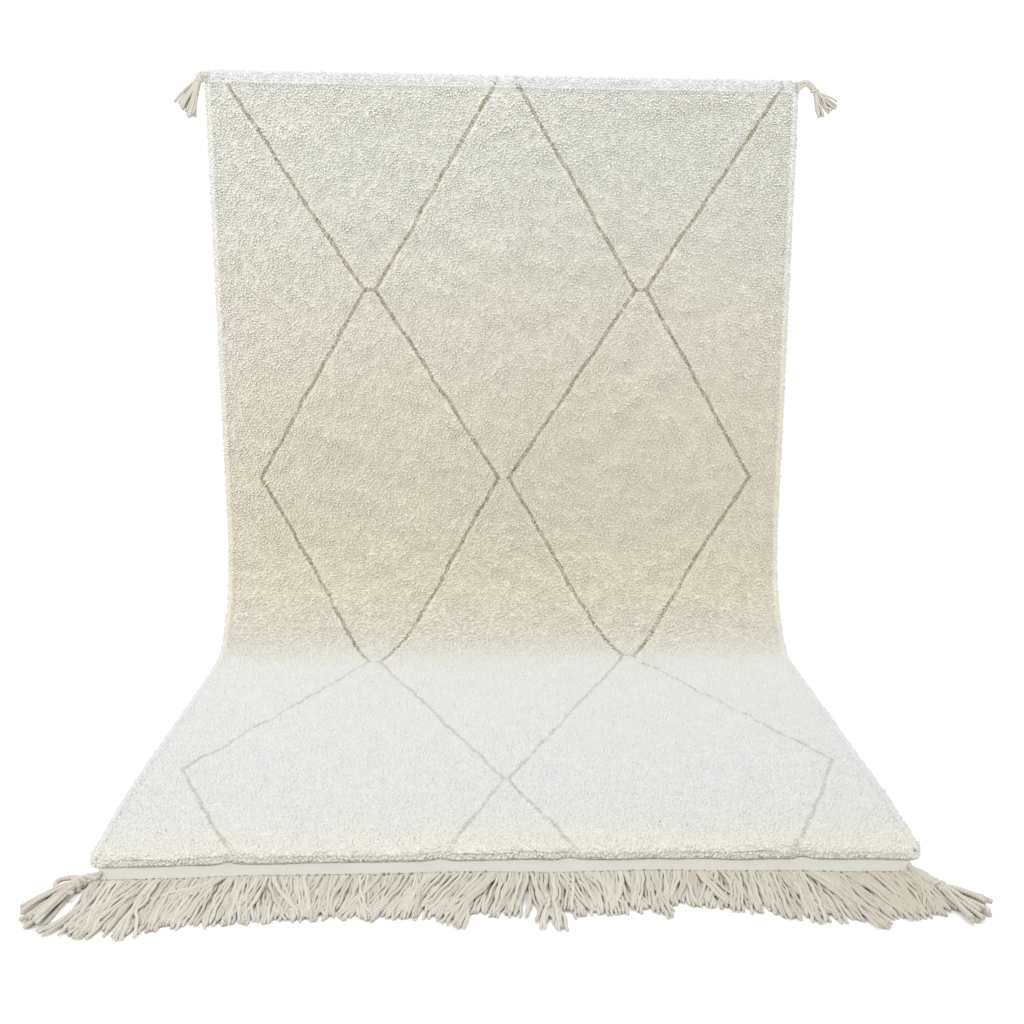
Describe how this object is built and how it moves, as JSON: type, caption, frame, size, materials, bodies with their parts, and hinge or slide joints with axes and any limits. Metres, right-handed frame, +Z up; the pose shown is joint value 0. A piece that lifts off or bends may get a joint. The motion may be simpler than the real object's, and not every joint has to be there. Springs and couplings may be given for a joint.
{
  "type": "hanging beni ourain rug",
  "caption": "Cream hand-knotted wool rug with a sunk diamond lattice, hung from its top edge and swept forward onto the floor, with a flat end band, fringe and corner tassels.",
  "frame": {"origin": "middle of the top edge that the rug hangs from", "axes": "+Z up out of the hanging edge; the pile faces -Y, and the foot runs forward along the floor to -Y; +X across the rug, to the right of someone who faces the pile"},
  "size_m": [1.6659, 1.4936, 1.5123],
  "materials": {
    "wool_pile": "matt cream wool pile with beige-brown lines",
    "band_weave": "matt cream flat weave",
    "fringe_yarn": "matt cream twisted wool yarn"
  },
  "bodies": {
    "root": {"pile_rug": "wool_pile", "end_band_fringe": "band_weave", "top_tassel_left": "fringe_yarn", "top_tassel_right": "fringe_yarn", "front_tassel_left": "fringe_yarn", "front_tassel_right": "fringe_yarn"}
  },
  "joints": []
}
